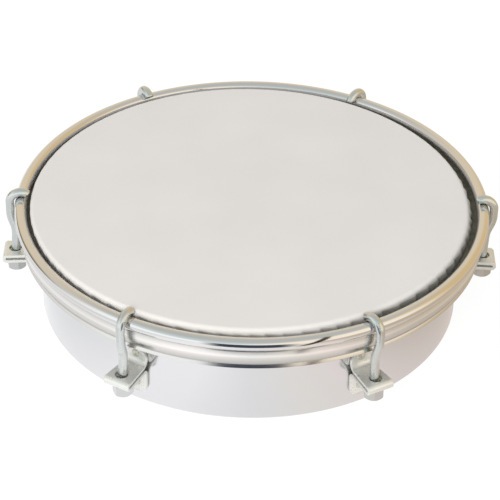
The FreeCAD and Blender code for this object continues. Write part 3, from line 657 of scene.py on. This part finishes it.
def nutPoints(size):
    # a hexagon cut by a turned form: radius(a, z) = min(flats / 2 / cos(a to the flat), turned(z))
    corner = size["flats"] / math.sqrt(3)
    cut = corner - size["footRadius"]
    bend = (cut ** 2 + size["footHeight"] ** 2) / (2 * cut)
    start = math.degrees(math.asin(size["footHeight"] / bend))
    foot = arc((corner - bend, size["footHeight"]), bend, -start, 0, size["footSteps"])
    top, bore = size["height"], size["bore"]
    boreAcross, boreUp = size["boreChamfer"]
    topAcross, topUp = size["topChamfer"]
    rise = np.linspace(size["footHeight"], top - topUp, size["riseSteps"])[1:-1]
    profile = np.concatenate([
        line((bore, boreUp), (bore + boreAcross, 0.0)), foot,
        np.stack([np.full(len(rise), corner), rise], axis=1),
        line((corner, top - topUp), (corner - topAcross, top), (bore + boreAcross, top),
             (bore, top - boreUp))])
    angle = np.radians(np.linspace(0, 360, size["sides"], endpoint=False))
    toFlat = (angle + math.pi / 6) % (math.pi / 3) - math.pi / 6
    hexagon = size["flats"] / 2 / np.cos(toFlat)
    radius = np.minimum(profile[:, 0][:, None], hexagon[None, :])
    height = np.repeat(profile[:, 1][:, None], size["sides"], axis=1)
    return np.stack([radius * np.cos(angle), radius * np.sin(angle), height], axis=-1) * mm


def makeNuts(size):
    points = nutPoints(size)
    faces = gridFaces(points.shape[0], size["sides"], closeRows=True, closeColumns=True)
    for lug, angle in enumerate(lugAngles, start=1):
        own = placeAtLug(points, math.radians(size["turns"][lug - 1]))
        placed = placeAtLug(own, angle, (size["place"] * mm, 0, size["bottom"] * mm))
        piece = makeMesh("hex_nut_%d" % lug, placed, faces, sharpAngle=28)
        dress(piece, "tuning_nut_%d" % lug, "nut_%d" % lug, nutZinc)


rivetSizes = {"face": shellSizes["radius"], "wall": shellSizes["wall"],
              "bracket": bracketSizes["thickness"], "gap": 0.05, "shank": 1.1, "dome": 0.9,
              "tail": 1.6, "tailHeight": 0.8, "tailRound": 0.3,
              "upperHead": 1.6, "lowerHead": 1.7, "upperHeight": 21.3, "lowerHeight": 9.3, "sides": 40,
              "tailSteps": 4, "domeSteps": 9}


def rivetPoints(size, head):
    # (along, radius) outline turned about X: tail, shank and a domed head
    domeBend = (head ** 2 + size["dome"] ** 2) / (2 * size["dome"])
    tip = size["bracket"] + size["dome"]
    sweep = math.degrees(math.asin(head / domeBend))
    tailFace = -size["wall"] - size["gap"]
    tailEnd, tailRound = tailFace - size["tailHeight"], size["tailRound"]
    profile = np.concatenate([
        line((tailEnd, 0)),
        arc((tailEnd + tailRound, size["tail"] - tailRound), tailRound, 180, 90, size["tailSteps"]),
        line((tailFace, size["tail"]), (tailFace, size["shank"]), (size["bracket"], size["shank"]),
             (size["bracket"], head)),
        arc((tip - domeBend, 0), domeBend, sweep, 0, size["domeSteps"])])
    angle = np.linspace(0, 2 * np.pi, size["sides"], endpoint=False)
    along = np.repeat(profile[:, 0][:, None], size["sides"], axis=1)
    radius = profile[:, 1][:, None]
    return np.stack([along, radius * np.cos(angle), radius * np.sin(angle)], axis=-1) * mm


def makeRivets(size):
    for row in ("upper", "lower"):
        points = rivetPoints(size, size[row + "Head"])
        faces = gridFaces(points.shape[0], size["sides"], closeColumns=True)
        offset = (size["face"] * mm, 0, size[row + "Height"] * mm)
        for lug, angle in enumerate(lugAngles, start=1):
            piece = makeMesh("%s_dome_rivet_%d" % (row, lug), placeAtLug(points, angle, offset), faces)
            dress(piece, "%s_rivet_%d" % (row, lug), "drum_shell", rivetSteel)


makeShell(shellSizes)
makeFilm(filmSizes)
makeChannel(channelSizes)
makeResin(channelSizes)
makeRod(rodSizes)
print("shell and hoops made")
makeHooks(hookSizes)
makeBrackets(bracketSizes)
makeNuts(nutSizes)
makeRivets(rivetSizes)
print("hooks, brackets, nuts and rivets made")


# The table: its width in m, how it glows and is lit for the camera and for the metal, the
# distances over which it brightens, and its tone from left to right between two x in mm
stageSizes = {"floor": 4.0, "cameraLit": 0.16, "cameraGlow": 0.9, "mirrorGlow": 0.95, "mirrorFar": 1.25,
              "farStart": 200, "farEnd": 420, "mirrorLit": 0.25, "toneStart": -100, "toneEnd": 140}
toneStops = [(0.02, "#E6E6E6"), (0.083, "#EFF0F0"), (0.2, "#FDFCFD"), (0.3, "#FDFCFC"),
             (0.42, "#EEEEEE"), (0.53, "#EEEAE4"), (0.61, "#EDE5E1"), (0.68, "#E1D7D1"),
             (0.75, "#D3C9BF"), (0.81, "#C8BEB2"), (0.9, "#C8B9A3")]


def plane(name, corners):
    mesh = bpy.data.meshes.new(name)
    mesh.from_pydata(corners, [], [(0, 1, 2, 3)])
    piece = bpy.data.objects.new(name, mesh)
    bpy.context.scene.collection.objects.link(piece)
    return piece


def makeFloor(size):
    # a pale table: white to the camera, with the drum's soft shadow; the metal sees it
    # cool on the left and warm on the right
    half = size["floor"] / 2
    floor = plane("floor", [(-half, -half, 0), (half, -half, 0), (half, half, 0), (-half, half, 0)])
    material, tree = newMaterial("paleTable")
    coords = addNode(tree, "TexCoord")
    apart = addNode(tree, "SeparateXYZ", inputs={"Vector": coords.outputs["Object"]})
    across = addNode(tree, "MapRange", inputs={
        "Value": apart.outputs["X"],
        "From Min": size["toneStart"] * mm, "From Max": size["toneEnd"] * mm})
    tone = addNode(tree, "ValToRGB", inputs={"Fac": across.outputs["Result"]})
    rampStops(tone, toneStops)
    lit = addNode(tree, "BsdfDiffuse", inputs={"Color": linear("#F2F1EF")})
    glow = addNode(tree, "Emission", inputs={
        "Color": linear("#FFFFFF"), "Strength": size["cameraGlow"]})
    faint = addNode(tree, "BsdfDiffuse", inputs={"Color": (size["cameraLit"],) * 3 + (1,)})
    seen = addNode(tree, "AddShader", inputs={0: glow.outputs["Emission"], 1: faint.outputs["BSDF"]})
    away = addNode(tree, "VectorMath", {"operation": "LENGTH"}, {0: coords.outputs["Object"]})
    far = addNode(tree, "MapRange", {"interpolation_type": "SMOOTHSTEP"}, {
        "Value": away.outputs["Value"],
        "From Min": size["farStart"] * mm, "From Max": size["farEnd"] * mm,
        "To Min": size["mirrorGlow"], "To Max": size["mirrorFar"]})
    mirrorGlow = addNode(tree, "Emission", inputs={
        "Color": tone.outputs["Color"], "Strength": far.outputs["Result"]})
    dim = addNode(tree, "MixRGB", inputs={
        0: size["mirrorLit"], 1: linear("#000000"), 2: tone.outputs["Color"]})
    mirrorLit = addNode(tree, "BsdfDiffuse", inputs={"Color": dim.outputs["Color"]})
    mirrored = addNode(tree, "AddShader", inputs={
        0: mirrorGlow.outputs["Emission"], 1: mirrorLit.outputs["BSDF"]})
    path = addNode(tree, "LightPath")
    shiny = addNode(tree, "Math", {"operation": "MAXIMUM"}, {
        0: path.outputs["Is Glossy Ray"], 1: path.outputs["Is Transmission Ray"]})
    first = addNode(tree, "MixShader", inputs={
        0: shiny.outputs["Value"], 1: lit.outputs["BSDF"], 2: mirrored.outputs["Shader"]})
    second = addNode(tree, "MixShader", inputs={
        0: path.outputs["Is Camera Ray"], 1: first.outputs["Shader"], 2: seen.outputs["Shader"]})
    finishMaterial(tree, second.outputs["Shader"])
    floor.data.materials.append(material)


# Things in front of the drum that only the metal shows, as dark lines along its hoops:
# four corners in mm, and the width over which the sides fade
cardSizes = [
    {"name": "dark_card", "corners": [(-42, -140, 0), (42, -140, 0), (42, -140, 57), (-42, -140, 57)],
     "fade": 21, "colour": "#464C5A"},
    {"name": "dark_leg", "corners": [(29, -121, 0), (43, -128, 0), (149, -181, 300), (135, -174, 300)],
     "fade": 1, "colour": "#3C3228"},
]


def makeCards(cards):
    for size in cards:
        card = plane(size["name"], [tuple(part * mm for part in corner) for corner in size["corners"]])
        halfWidth = max(abs(corner[0]) for corner in size["corners"])
        material, tree = newMaterial(size["name"] + "_cloth")
        coords = addNode(tree, "TexCoord")
        apart = addNode(tree, "SeparateXYZ", inputs={"Vector": coords.outputs["Object"]})
        aside = addNode(tree, "Math", {"operation": "ABSOLUTE"}, {0: apart.outputs["X"]})
        fade = addNode(tree, "MapRange", {"interpolation_type": "SMOOTHSTEP"}, {
            "Value": aside.outputs["Value"], "From Min": (halfWidth - size["fade"]) * mm,
            "From Max": halfWidth * mm})
        shade = addNode(tree, "Emission", inputs={"Color": linear(size["colour"]), "Strength": 1.0})
        clear = addNode(tree, "BsdfTransparent")
        cloth = addNode(tree, "MixShader", inputs={
            0: fade.outputs["Result"], 1: shade.outputs["Emission"], 2: clear.outputs["BSDF"]})
        finishMaterial(tree, cloth.outputs["Shader"])
        card.data.materials.append(material)
        card.visible_camera = False
        card.visible_diffuse = False
        card.visible_shadow = False


# The plain light all round that falls on the drum, and the room the metal shows: each
# patch lies toward a direction and fades in between the cosines start and full
plainLight = "#D6D6D8"
roomLevel = 1.3
roomBase = "#C8C5BD"
roomPatches = [
    {"toward": (0.0, 0.9, 0.43), "start": 0.3, "full": 0.85, "colour": "#D8CBB2"},   # back wall
    {"toward": (0.97, 0.2, 0.1), "start": 0.3, "full": 0.8, "colour": "#D3B98C"},   # wooden right side
    {"toward": (0.6, -0.75, 0.1), "start": 0.4, "full": 0.9, "colour": "#FBF0DF"},   # cream wall
    {"toward": (-0.6, -0.8, 0.05), "start": 0.45, "full": 0.95, "colour": "#FAFFFF"},   # cool window
    {"toward": (-0.35, -0.6, 0.72), "start": 0.8, "full": 0.97, "colour": "#C6D3D2"},   # window blind
    {"toward": (-0.9, 0.5, -0.1), "start": 0.85, "full": 0.98, "colour": "#7F755C"},   # dark cupboard
    {"toward": (0.0, 0.0, 1.0), "start": 0.6, "full": 0.95, "colour": "#B7BAB7"},   # ceiling
]


def makeWorld(patches):
    # the metal sees the room, everything else is lit by the plain light, and the camera sees white
    world = bpy.data.worlds.new("softRoom")
    bpy.context.scene.world = world
    world.use_nodes = True
    tree = world.node_tree
    tree.nodes.clear()
    coords = addNode(tree, "TexCoord")
    colour = linear(roomBase)
    for patch in patches:
        toward = Vector(patch["toward"]).normalized()
        cosine = addNode(tree, "VectorMath", {"operation": "DOT_PRODUCT"}, {
            0: coords.outputs["Generated"], 1: toward})
        share = addNode(tree, "MapRange", {"interpolation_type": "SMOOTHSTEP"}, {
            "Value": cosine.outputs["Value"], "From Min": patch["start"], "From Max": patch["full"]})
        blend = addNode(tree, "MixRGB", inputs={
            0: share.outputs["Result"], 1: colour, 2: linear(patch["colour"])})
        colour = blend.outputs["Color"]
    path = addNode(tree, "LightPath")
    room = addNode(tree, "Background", inputs={"Color": colour, "Strength": roomLevel})
    plain = addNode(tree, "Background", inputs={"Color": linear(plainLight), "Strength": 1.0})
    white = addNode(tree, "Background", inputs={"Color": linear("#FFFFFF"), "Strength": 1.0})
    lit = addNode(tree, "MixShader", inputs={
        0: path.outputs["Is Glossy Ray"], 1: plain.outputs["Background"], 2: room.outputs["Background"]})
    seen = addNode(tree, "MixShader", inputs={
        0: path.outputs["Is Camera Ray"], 1: lit.outputs["Shader"], 2: white.outputs["Background"]})
    addNode(tree, "OutputWorld", inputs={"Surface": seen.outputs["Shader"]})


# One soft lamp for the drum's shadow, which the metal doesn't show: place and size in m
lampSizes = [
    {"name": "front_window", "place": (-0.5, -1.3, 0.78), "size": 0.9, "watts": 14.0,
     "colour": "#FFFEFC"},
]


def makeLamps():
    for lamp in lampSizes:
        light = bpy.data.lights.new(lamp["name"], "AREA")
        light.shape = "SQUARE"
        light.size = lamp["size"]
        light.energy = lamp["watts"]
        light.color = linear(lamp["colour"])[:3]
        holder = bpy.data.objects.new(lamp["name"], light)
        place = Vector(lamp["place"])
        holder.location = place
        holder.rotation_euler = (-place).to_track_quat("-Z", "Y").to_euler()
        holder.visible_glossy = False
        bpy.context.scene.collection.objects.link(holder)


# Distance and height in mm, pitch, roll and yaw in radians, turn in degrees
cameraSizes = {"distance": 682.75, "height": 492.63, "pitch": 0.60713, "roll": -0.01942,
               "yaw": -0.00025, "turn": -0.41, "lens": 162.54, "sensor": 36, "nearest": 10}


def makeCamera(size):
    # looks along +Y and down by pitch, rolled about its own axis, then turned about Z
    yaw, pitch, roll = size["yaw"], size["pitch"], size["roll"]
    right = Vector((math.cos(yaw), math.sin(yaw), 0))
    ahead = Vector((-math.sin(yaw) * math.cos(pitch), math.cos(yaw) * math.cos(pitch), -math.sin(pitch)))
    down = ahead.cross(right)
    across = right * math.cos(roll) + down * math.sin(roll)
    fall = -right * math.sin(roll) + down * math.cos(roll)
    axes = Matrix((across, -fall, -ahead)).transposed().to_4x4()
    axes.translation = Vector((0, -size["distance"] * mm, size["height"] * mm))
    lens = bpy.data.cameras.new("photo_view")
    lens.lens = size["lens"]
    lens.sensor_width = size["sensor"]
    lens.clip_start = size["nearest"] * mm
    camera = bpy.data.objects.new("photo_view", lens)
    bpy.context.scene.collection.objects.link(camera)
    camera.matrix_world = Matrix.Rotation(math.radians(size["turn"]), 4, "Z") @ axes
    bpy.context.scene.camera = camera


makeFloor(stageSizes)
makeCards(cardSizes)
makeWorld(roomPatches)
makeLamps()
makeCamera(cameraSizes)
bpy.context.scene.view_settings.view_transform = "Standard"
print("stage, lamps and camera set")
